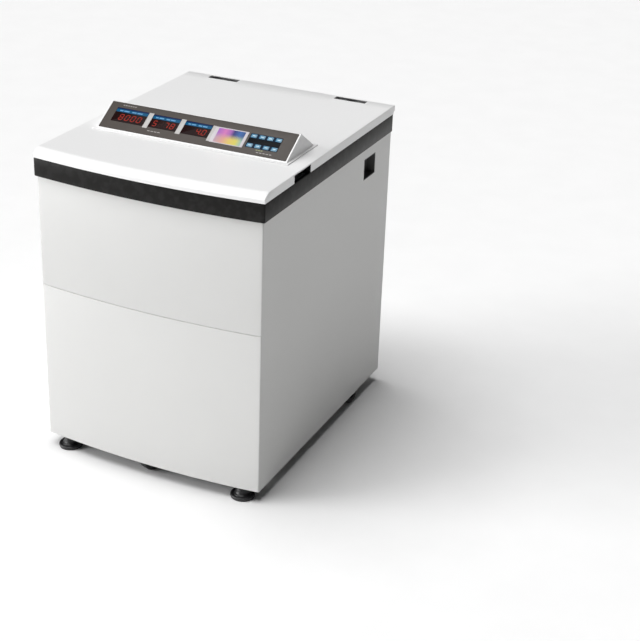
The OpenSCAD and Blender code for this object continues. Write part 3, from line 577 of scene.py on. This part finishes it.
def lid_blank():
    """The lid as a solid: a flat top, a rounded nose behind a soft crease, and eased side and rear edges."""
    half = lid_high.x
    distances = stops((0, 6 * MM, 8), (6 * MM, NOSE_RUN - CREASE_BLEND, 10),
                      (NOSE_RUN - CREASE_BLEND, NOSE_RUN + CREASE_BLEND, 12),
                      (NOSE_RUN + CREASE_BLEND, 60 * MM, 4), (60 * MM, 740 * MM, 16))
    rear_ease = 1.2 * MM
    rear_edge = [(lid_high.y - drop, rear_ease - drop) for drop in (rear_ease, 0)]
    rear_edge.insert(1, (lid_high.y - 0.35 * MM, 0.35 * MM))
    side = [half - LID_EASE * (1 - math.sin(math.radians(a))) for a in range(90, -1, -15)]
    inner = stops((half - LID_EASE - 1 * MM, -half + LID_EASE + 1 * MM, 46))
    columns = side + inner + [-x for x in reversed(side)]
    verts = []
    for x in columns:
        front = BOW_CENTRE_Y - math.sqrt(LID_R ** 2 - x * x)
        verts += [(x, front + distance, LID_TOP - nose_drop(distance) - side_drop(x)) for distance in distances]
        verts += [(x, y, LID_TOP - drop - side_drop(x)) for y, drop in rear_edge]
    count, rows = len(columns), len(distances) + len(rear_edge)
    faces = grid_faces(count, rows)
    rim = [i * rows for i in range(count)] + [(count - 1) * rows + j for j in range(1, rows)]
    rim += [i * rows + rows - 1 for i in range(count - 2, -1, -1)] + list(range(rows - 2, 0, -1))
    base, n = len(verts), len(rim)
    verts += [(verts[i][0], verts[i][1], LID_BOTTOM) for i in rim]
    faces += [(rim[i], rim[(i + 1) % n], base + (i + 1) % n, base + i) for i in range(n)]
    faces.append(tuple(base + i for i in range(n)))
    return make("lid_cover", verts, faces, "lid")


def in_notch_painted_shade(spot):
    """Whether a point lies on the walls of a finger notch, which are painted black as painted shade."""
    hair = 0.2 * MM
    return (HALF_W - 23 * MM < abs(spot.x) < lid_high.x - hair and spot.z < LID_TOP - 2 * MM
            and NOTCH_Y[0] - hair < spot.y < NOTCH_Y[1] + hair)


def lid():
    """The lid with its hollow underside, finger notches, hinge slots and rear relief."""
    piece = lid_blank()
    inside = outline(SIDE_OVERHANG - LID_WALL, REAR_OVERHANG - LID_WALL, 2 * MM, 2 * MM)
    nose_back = FRONT_Y + 8 * MM
    inside = [(x, max(y, nose_back) if y < 0 else y) for x, y in inside]
    hollow = make("cutter", *prism(inside, LID_BOTTOM - 1 * MM, LID_TOP - LID_WALL), None)
    beyond = HALF_W + 20 * MM
    for side in (-1, 1):
        left, right = sorted((side * (HALF_W - 24 * MM), side * beyond))
        cut(hollow, cutter_box((left, NOTCH_Y[0] - POCKET_WALL, 0), (right, NOTCH_Y[1] + POCKET_WALL, 1)))
    cut(piece, hollow)
    for side in (-1, 1):
        left, right = sorted((side * (HALF_W - 22 * MM), side * beyond))
        cut(piece, cutter_box((left, NOTCH_Y[0], 0), (right, NOTCH_Y[1], LID_TOP - NOTCH_ROOF)))
        left, right = sorted((side * 153 * MM, side * 247 * MM))
        cut(piece, cutter_box((left, REAR_Y - 24 * MM, LID_BOTTOM), (right, REAR_Y, 1)))
    cut(piece, cutter_box((-1, REAR_Y - 2 * MM, 0), (1, 1, LID_BOTTOM + 7.5 * MM)))
    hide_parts("lid_shell")
    paint(piece, "lid")
    # the notch walls are painted black: painted shade in the notch
    return paint_where(piece, "plastic", in_notch_painted_shade)


# ---- Console ----

console_low, console_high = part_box("console_housing")
FACE_RUN, BACK_RUN = 86 * MM, 78 * MM
FLANGE_FRONT, FLANGE_END, FLANGE_H = 4 * MM, 8 * MM, 2.5 * MM
FACE_Y = console_low.y + FLANGE_FRONT
CONSOLE_H = console_high.z - LID_TOP
SLOPE = math.atan(CONSOLE_H / FACE_RUN)
UP_SLOPE = Vector((0, math.cos(SLOPE), math.sin(SLOPE)))
OUTWARD = Vector((0, -math.sin(SLOPE), math.cos(SLOPE)))
KEY_U, KEY_V, KEY_W, KEY_H = (159, 182, 205, 228), (68, 38), 16, 11
SEGMENTS = {"0": "abcdef", "1": "bc", "2": "abged", "3": "abgcd", "4": "fgbc", "5": "afgcd",
            "6": "afgedc", "7": "abc", "8": "abcdefg", "9": "abcdfg"}


def on_face(u, v, w):
    """A point on the console's face: across, up the slope and outward, in millimetres."""
    return Vector((u * MM, FACE_Y, LID_TOP)) + UP_SLOPE * v * MM + OUTWARD * w * MM


def face_plate(name, u, v, w, size, height, material, body="lid", round_edge=0.3, corner=0.0):
    """A thin plate on the face with rounded corners and eased edges. Its UVs run from 0 to 1 across and up."""
    du, dv = size
    corner = max(corner, 0.05)
    outline_points = []
    for cx, cy, start in ((u + du - corner, v + corner, -90), (u + du - corner, v + dv - corner, 0),
                          (u + corner, v + dv - corner, 90), (u + corner, v + corner, 180)):
        outline_points += arc(cx, cy, corner, start, start + 90, 4)
    middle_u, middle_v = u + du / 2, v + dv / 2
    part = 0.3 * round_edge
    steps = [(0, w), (0, w + height - round_edge), (part, w + height - part), (round_edge, w + height)]
    verts = []
    for inset, level in steps:
        narrow, short = 1 - 2 * inset / du, 1 - 2 * inset / dv
        verts += [on_face(middle_u + (a - middle_u) * narrow, middle_v + (b - middle_v) * short, level)
                  for a, b in outline_points]
    n = len(outline_points)
    faces = grid_faces(len(steps), n, closed_columns=True)
    faces += [tuple(range(n)), tuple(range((len(steps) - 1) * n, len(steps) * n))]
    piece = make(name, verts, faces, body, 30)
    layer = piece.data.uv_layers.new(name="across")
    for loop in piece.data.loops:
        place = piece.data.vertices[loop.vertex_index].co - on_face(u, v, 0)
        layer.data[loop.index].uv = (place.x / (du * MM), place.dot(UP_SLOPE) / (dv * MM))
    return paint(piece, material)


def key_cutters(rows=KEY_V):
    """Cutters for the holes that the keys slide in."""
    width, height = KEY_W + 0.7, KEY_H + 0.7
    return [face_plate("cutter_key", u - width / 2, v - height / 2, -3, (width, height), 8, "key", None,
                       0.01, 1.5)
            for v in rows for u in KEY_U]


def wedge_profile():
    """The wedge's side view as (y, z) points, and the centre of the arc that rounds its ridge."""
    ridge_r = 4 * MM
    back_slope = math.atan(CONSOLE_H / BACK_RUN)
    ridge, back = FACE_Y + FACE_RUN, FACE_Y + FACE_RUN + BACK_RUN
    # the ridge's arc touches both slopes
    drop = ridge_r / math.sin((math.pi - SLOPE - back_slope) / 2)
    lean = (back_slope - SLOPE) / 2
    cy, cz = ridge - drop * math.sin(lean), LID_TOP + CONSOLE_H - drop * math.cos(lean)
    top = arc(cy, cz, ridge_r, 90 + math.degrees(SLOPE), 90 - math.degrees(back_slope), 8)
    return [(FACE_Y, LID_TOP)] + top + [(back, LID_TOP)], cy


def console_housing():
    """The wedge: rounded ridge, eased ends, a thin foot flange, and a shallow recess for the face."""
    half = console_high.x - FLANGE_END
    profile, mid_y = wedge_profile()
    mid_z = LID_TOP + CONSOLE_H * 0.45
    ease = 1.6 * MM
    part = 0.3 * ease
    ends = [(-half, ease), (-half + part, part), (-half + ease, 0),
            (half - ease, 0), (half - part, part), (half, ease)]
    verts = []
    for x, inset in ends:
        for y, z in profile:
            if z > LID_TOP:
                away = Vector((y - mid_y, z - mid_z)).normalized() * inset
                y, z = y - away.x, z - away.y
            else:
                y += inset if y < mid_y else -inset
            verts.append((x, y, z))
    n = len(profile)
    faces = grid_faces(len(ends), n, closed_columns=True)
    faces += [tuple(range(n)), tuple(range((len(ends) - 1) * n, len(ends) * n))]
    wedge = make("console_wedge", verts, faces, "lid", 30)
    recess = face_plate("cutter_recess", -272, 9, -1.2, (544, 90), 20, "console_white", None, 0.01, 3)
    cut(wedge, recess, *key_cutters())
    flange_end = half + FLANGE_END
    verts, faces = block_mesh((-flange_end, console_low.y, LID_TOP),
                              (flange_end, console_high.y, LID_TOP + FLANGE_H))
    flange = bevel(make("console_flange", verts, faces, "lid"), 1.1 * MM)
    for piece in (wedge, flange):
        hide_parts("console_housing")
        paint(piece, "console_white")


def segment_shapes(width, height, bar):
    """Outlines of the seven bars of a digit, keyed by their usual letters."""
    gap, half = bar * 0.12, bar / 2

    def bar_across(x0, x1, y):
        x0, x1 = x0 + gap, x1 - gap
        return [(x0, y), (x0 + half, y + half), (x1 - half, y + half), (x1, y), (x1 - half, y - half),
                (x0 + half, y - half)]

    def bar_up(x, y0, y1):
        y0, y1 = y0 + gap, y1 - gap
        return [(x, y0), (x + half, y0 + half), (x + half, y1 - half), (x, y1), (x - half, y1 - half),
                (x - half, y0 + half)]

    left, right, low, mid, top = half, width - half, half, height / 2, height - half
    return {"a": bar_across(left, right, top), "b": bar_up(right, mid, top), "c": bar_up(right, low, mid),
            "d": bar_across(left, right, low), "e": bar_up(left, low, mid), "f": bar_up(left, mid, top),
            "g": bar_across(left, right, mid)}


def plates(name, shapes, w, height, material):
    """One mesh of many thin plates on the face, each from its outline."""
    verts, faces = [], []
    for points in shapes:
        n, start = len(points), len(verts)
        verts += [on_face(a, b, level) for level in (w, w + height) for a, b in points]
        faces += [tuple(range(start, start + n)), tuple(range(start + n, start + 2 * n))]
        faces += [(start + i, start + (i + 1) % n, start + n + (i + 1) % n, start + n + i) for i in range(n)]
    piece = make(name, verts, faces, "lid", 30)
    return paint(piece, material)


def rectangle(u, v, du, dv):
    return [(u, v), (u + du, v), (u + du, v + dv), (u, v + dv)]


def dashes(u, v, size, step, count):
    """Outlines of a row of plain printed dashes."""
    return [rectangle(u + step * i, v, *size) for i in range(count)]


def header_strip(name, u, v, width, height, edge_h):
    """Blue strip with a navy upper edge and plain dashes."""
    face_plate(name + "_header", u + 1, v, 0.5, (width - 2, height), 0.2, "header",
               round_edge=0.05, corner=0.5)
    face_plate(name + "_header_edge", u + 1, v + height, 0.5, (width - 2, edge_h), 0.2, "header_edge",
               round_edge=0.05, corner=0.5)
    marks = [rectangle(u + width * start, v + height * 0.3, width * share, height * 0.4)
             for start, share in ((0.12, 0.1), (0.25, 0.16), (0.5, 0.13), (0.66, 0.16))]
    plates(name + "_header_marks", marks, 0.7, 0.05, "header_mark")


def display(name, text, u, v, du, dv, digit_w, digit_h, right_gap):
    """A window with a blue header strip over red digits; unlit bars show faintly."""
    window = face_plate(name + "_window", u, v, 0, (du, dv), 0.5, "window", corner=1.2)
    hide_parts("led_displays")
    header_h, edge_h = 9, 4
    header_v = v + dv - edge_h - header_h - 1
    header_strip(name, u, header_v, du, header_h, edge_h)
    pitch, slant = digit_w * 1.42, 0.12
    cells = text.replace(".", "")
    start = u + du - right_gap - pitch * len(cells)
    base_v = v + (header_v - v - digit_h) * 0.5
    lit, unlit = [], []
    for i, character in enumerate(cells):
        for letter, points in segment_shapes(digit_w, digit_h, digit_h * 0.13).items():
            shape = [(start + pitch * i + a + b * slant, base_v + b) for a, b in points]
            (lit if letter in SEGMENTS.get(character, "") else unlit).append(shape)
    if "." in text:
        dot = digit_w * 0.2
        lit.append(rectangle(start + pitch * text.index(".") - digit_w * 0.3, base_v, dot, dot))
    plates(name + "_digits", lit, 0.5, 0.12, "lit")
    plates(name + "_dim_bars", unlit, 0.5, 0.06, "unlit")


def console():
    """The console's face, displays, screen and keys."""
    console_housing()
    face = face_plate("console_panel", -271.6, 9.4, -1.2, (543.2, 89.2), 1.2, "face", corner=2.6)
    cut(face, *key_cutters())
    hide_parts("console_face")
    for i, (u, du, v, dv) in enumerate(((-151, 14, 31, 50), (-54, 14, 31, 49), (39, 9, 27, 51))):
        face_plate("face_divider_%d" % (i + 1), u, v, 0, (du, dv), 0.25, "divider", round_edge=0.08, corner=1.0)
    display("speed", "8000", -248, 35, 97, 46, 12.5, 20, 8)
    display("time", "5 78", -137, 36, 83, 43, 12, 19, 6)
    display("temperature", "4.0", -40, 35, 79, 43, 12, 19, 6)
    bezel = face_plate("screen_surround", 48, 26, 0, (94, 51), 0.6, "bezel", corner=1.5)
    picture = face_plate("screen_glass", 58, 28, 0.6, (76, 46), 0.2, "screen", round_edge=0.06, corner=0.8)
    for piece in (bezel, picture):
        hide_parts("graphic_screen")
    keypad()
    marks = dashes(-236, 89.5, (5, 2.2), 7, 6) + dashes(-131, 22.8, (7.5, 2.2), 10, 4)
    marks += dashes(185, 18.6, (6.5, 2.0), 9, 5)
    plates("face_print", marks, 0, 0.06, "print")
    plates("face_print_green", dashes(181, 25.4, (5.4, 2.6), 7, 3), 0, 0.06, "print_green")


def keypad():
    """Dark ground with a navy stripe behind each row of keys, and eight keys with a plain mark."""
    ground_u, ground_w = 148, 89
    for name, low, high, material in (("keypad_top_stripe", 61, 76, "navy"),
                                      ("keypad_bottom_stripe", 31, 45, "navy"),
                                      ("keypad_middle", 45, 61, "keypad")):
        plate = face_plate(name, ground_u, low, 0, (ground_w, high - low), 0.35, material, round_edge=0.06,
                           corner=0.4)
        for v in KEY_V:
            if low < v < high:
                cut(plate, *key_cutters((v,)))
    for i in range(8):
        u, v = KEY_U[i % 4], KEY_V[i // 4]
        body = "key_%d" % (i + 1)
        cap = face_plate(body + "_cap", u - KEY_W / 2, v - KEY_H / 2, -1.1, (KEY_W, KEY_H), 2.6, "key", body,
                         round_edge=0.8, corner=1.4)
        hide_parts(body)
        face_plate(body + "_mark", u - 4, v - 1, 1.5, (8, 2), 0.06, "key_mark", body, round_edge=0.02,
                   corner=0.4)


# ---- Rotor ----

rotor_low, rotor_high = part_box("rotor_body")
ROTOR_CENTRE = Vector((0, (rotor_low.y + rotor_high.y) / 2, rotor_low.z))
# in millimetres
ROTOR_H, ROTOR_R = (rotor_high.z - rotor_low.z) / MM, rotor_high.x / MM
RIM_R, RIM_H, RIM_STEP = 130.5, 26, 3.6
DISH_TOP_R, DISH_R, DISH_Z = RIM_R - 11.5, 39, ROTOR_H - 41
MOUTH_R, CAVITY_R, CAVITY_DEPTH = 75, 35, 60


def between(start, end, count):
    """Points along a line after its start."""
    return [(start[0] + (end[0] - start[0]) * i / count, start[1] + (end[1] - start[1]) * i / count)
            for i in range(1, count + 1)]


def rotor_profile():
    """The rotor's half section: foot with a lip, cone, rim band and dished top."""
    h, foot = ROTOR_H, ROTOR_R
    profile = [(0, 0), (foot - 2, 0), (foot - 0.6, 0.6), (foot, 2), (foot, 6), (foot - 0.7, 7.2)]
    profile += between((foot - 1, 7.8), (RIM_R + 2.5, h - RIM_H - 0.6), 12)
    profile += [(RIM_R + 1.8, h - RIM_H + 0.4), (RIM_R, h - RIM_H + 0.4), (RIM_R, h - 2)]
    profile += arc(RIM_R - 2, h - 2, 2, 15, 90, 4)
    profile += [(RIM_R - 9, h), (RIM_R - 10, h - 0.6), (DISH_TOP_R, h - RIM_STEP)]
    profile += between((DISH_TOP_R, h - RIM_STEP), (DISH_R, DISH_Z), 12)
    return profile + [(DISH_R - 2, DISH_Z - 0.4), (0, DISH_Z - 0.4)]


def cavity_profile():
    """Half section of a bottle cavity, from above its mouth to its round end."""
    profile = [(0, -40), (CAVITY_R, -40)] + [(CAVITY_R, CAVITY_DEPTH * k / 4) for k in range(5)]
    profile += [(CAVITY_R * math.cos(a), CAVITY_DEPTH + CAVITY_R * math.sin(a))
                for a in (math.radians(d) for d in range(6, 90, 6))]
    return profile + [(0, CAVITY_DEPTH + CAVITY_R)]


def from_axis(spot):
    """A point's distance from the rotor's axis and its height above the foot, in millimetres."""
    return math.hypot(spot.x, spot.y - ROTOR_CENTRE.y) / MM, (spot.z - ROTOR_CENTRE.z) / MM


def on_rim(spot):
    """Whether a point lies on the rim band or the foot's lip."""
    out, height = from_axis(spot)
    return (out > RIM_R - 11 and height > ROTOR_H - RIM_H - 1) or height < 7


def in_cavity(spot):
    """Whether a point lies below the dish, inside a cavity."""
    out, height = from_axis(spot)
    dish = DISH_Z + max(out - DISH_R, 0) * (ROTOR_H - RIM_STEP - DISH_Z) / (DISH_TOP_R - DISH_R)
    return out < RIM_R - 4 and 8 < height < dish - 0.8


def rotor():
    """Fixed-angle rotor with six slanted cavities."""
    piece = lathe("rotor_turned", in_metres(rotor_profile()), None, (0, 0, 0), 192)
    tilt = math.radians(25)
    mouth = Vector((MOUTH_R, 0, DISH_Z + (MOUTH_R - DISH_R) * math.tan(tilt))) * MM
    slant = Matrix.Translation(mouth) @ Matrix.Rotation(math.pi - tilt, 4, "Y")
    for i in range(6):
        cutter = lathe("cutter", in_metres(cavity_profile()), None, (0, 0, 0), 96)
        cutter.data.transform(Matrix.Rotation(math.radians(16 + 60 * i), 4, "Z") @ slant)
        cut(piece, cutter)
    piece.data.transform(Matrix.Translation(ROTOR_CENTRE))
    soften(piece, 30)
    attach(piece, "rotor")
    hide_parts("rotor_body")
    paint(piece, "rotor")
    paint_where(piece, "rotor_dark", on_rim)
    # the cavities get the lighter violet: painted sheen
    return paint_where(piece, "rotor_cavity_painted_sheen", in_cavity)


# ---- Stage, light and camera ----

def stage():
    """A plain pale floor under a faint even sky."""
    size = 30
    corners = [(-size, -size, 0), (size, -size, 0), (size, size, 0), (-size, size, 0)]
    mesh = bpy.data.meshes.new("floor")
    mesh.from_pydata(corners, [], [(0, 1, 2, 3)])
    floor = bpy.data.objects.new("floor", mesh)
    bpy.context.scene.collection.objects.link(floor)
    floor.data.materials.append(finish_of("floor_pale", (0.93, 0.93, 0.93), 0.6, vary=0.01, grain=60, bump=0.0))
    world = bpy.data.worlds.new("studio")
    bpy.context.scene.world = world
    world.use_nodes = True
    background = world.node_tree.nodes["Background"]
    background.inputs["Color"].default_value = (1, 1, 1, 1)
    background.inputs["Strength"].default_value = 0.08


def soft_light(name, toward, spread, power):
    """A broad, even light from a direction."""
    data = bpy.data.lights.new(name, "SUN")
    data.angle = math.radians(spread)
    data.energy = power
    light = bpy.data.objects.new(name, data)
    light.rotation_euler = (-Vector(toward)).to_track_quat("-Z", "Y").to_euler()
    bpy.context.scene.collection.objects.link(light)


def camera():
    """The photograph's viewpoint, from a fit to the cabinet's edges."""
    data = bpy.data.cameras.new("camera")
    data.sensor_width = 36
    data.lens = 82.19
    data.shift_x, data.shift_y = 0.0819, -0.0550
    data.clip_start, data.clip_end = 0.05, 100
    piece = bpy.data.objects.new("camera", data)
    azimuth, elevation, roll = (math.radians(v) for v in (26.499, 24.684, 1.139))
    away = Vector((math.sin(azimuth) * math.cos(elevation), -math.cos(azimuth) * math.cos(elevation),
                   math.sin(elevation)))
    piece.location = (1.7465, -3.2104, 2.0762)
    aim = (-away).to_track_quat("-Z", "Y")
    piece.rotation_mode = "QUATERNION"
    piece.rotation_quaternion = aim @ Matrix.Rotation(roll, 4, "Z").to_quaternion()
    bpy.context.scene.collection.objects.link(piece)
    bpy.context.scene.camera = piece


bpy.context.scene.view_settings.view_transform = "Standard"
camera()
paint_nodes()
front_panel("front_lower_panel", panel_low, panel_high, False)
front_panel("front_upper_panel", upper_low, upper_high, True)
trim_band()
foot(-1)
foot(1)
wheel("front_caster_wheel", "front_wheel", math.radians(-18))
wheel("rear_left_wheel", "rear_left_wheel", 0)
wheel("rear_right_wheel", "rear_right_wheel", 0)
lid()
console()
rotor()
stage()
# the low light from the front left leaves the right side in shade
soft_light("overhead", (-0.25, -0.1, 1), 50, 2.6)
soft_light("front_left", (-0.82, -0.54, 0.24), 34, 2.65)
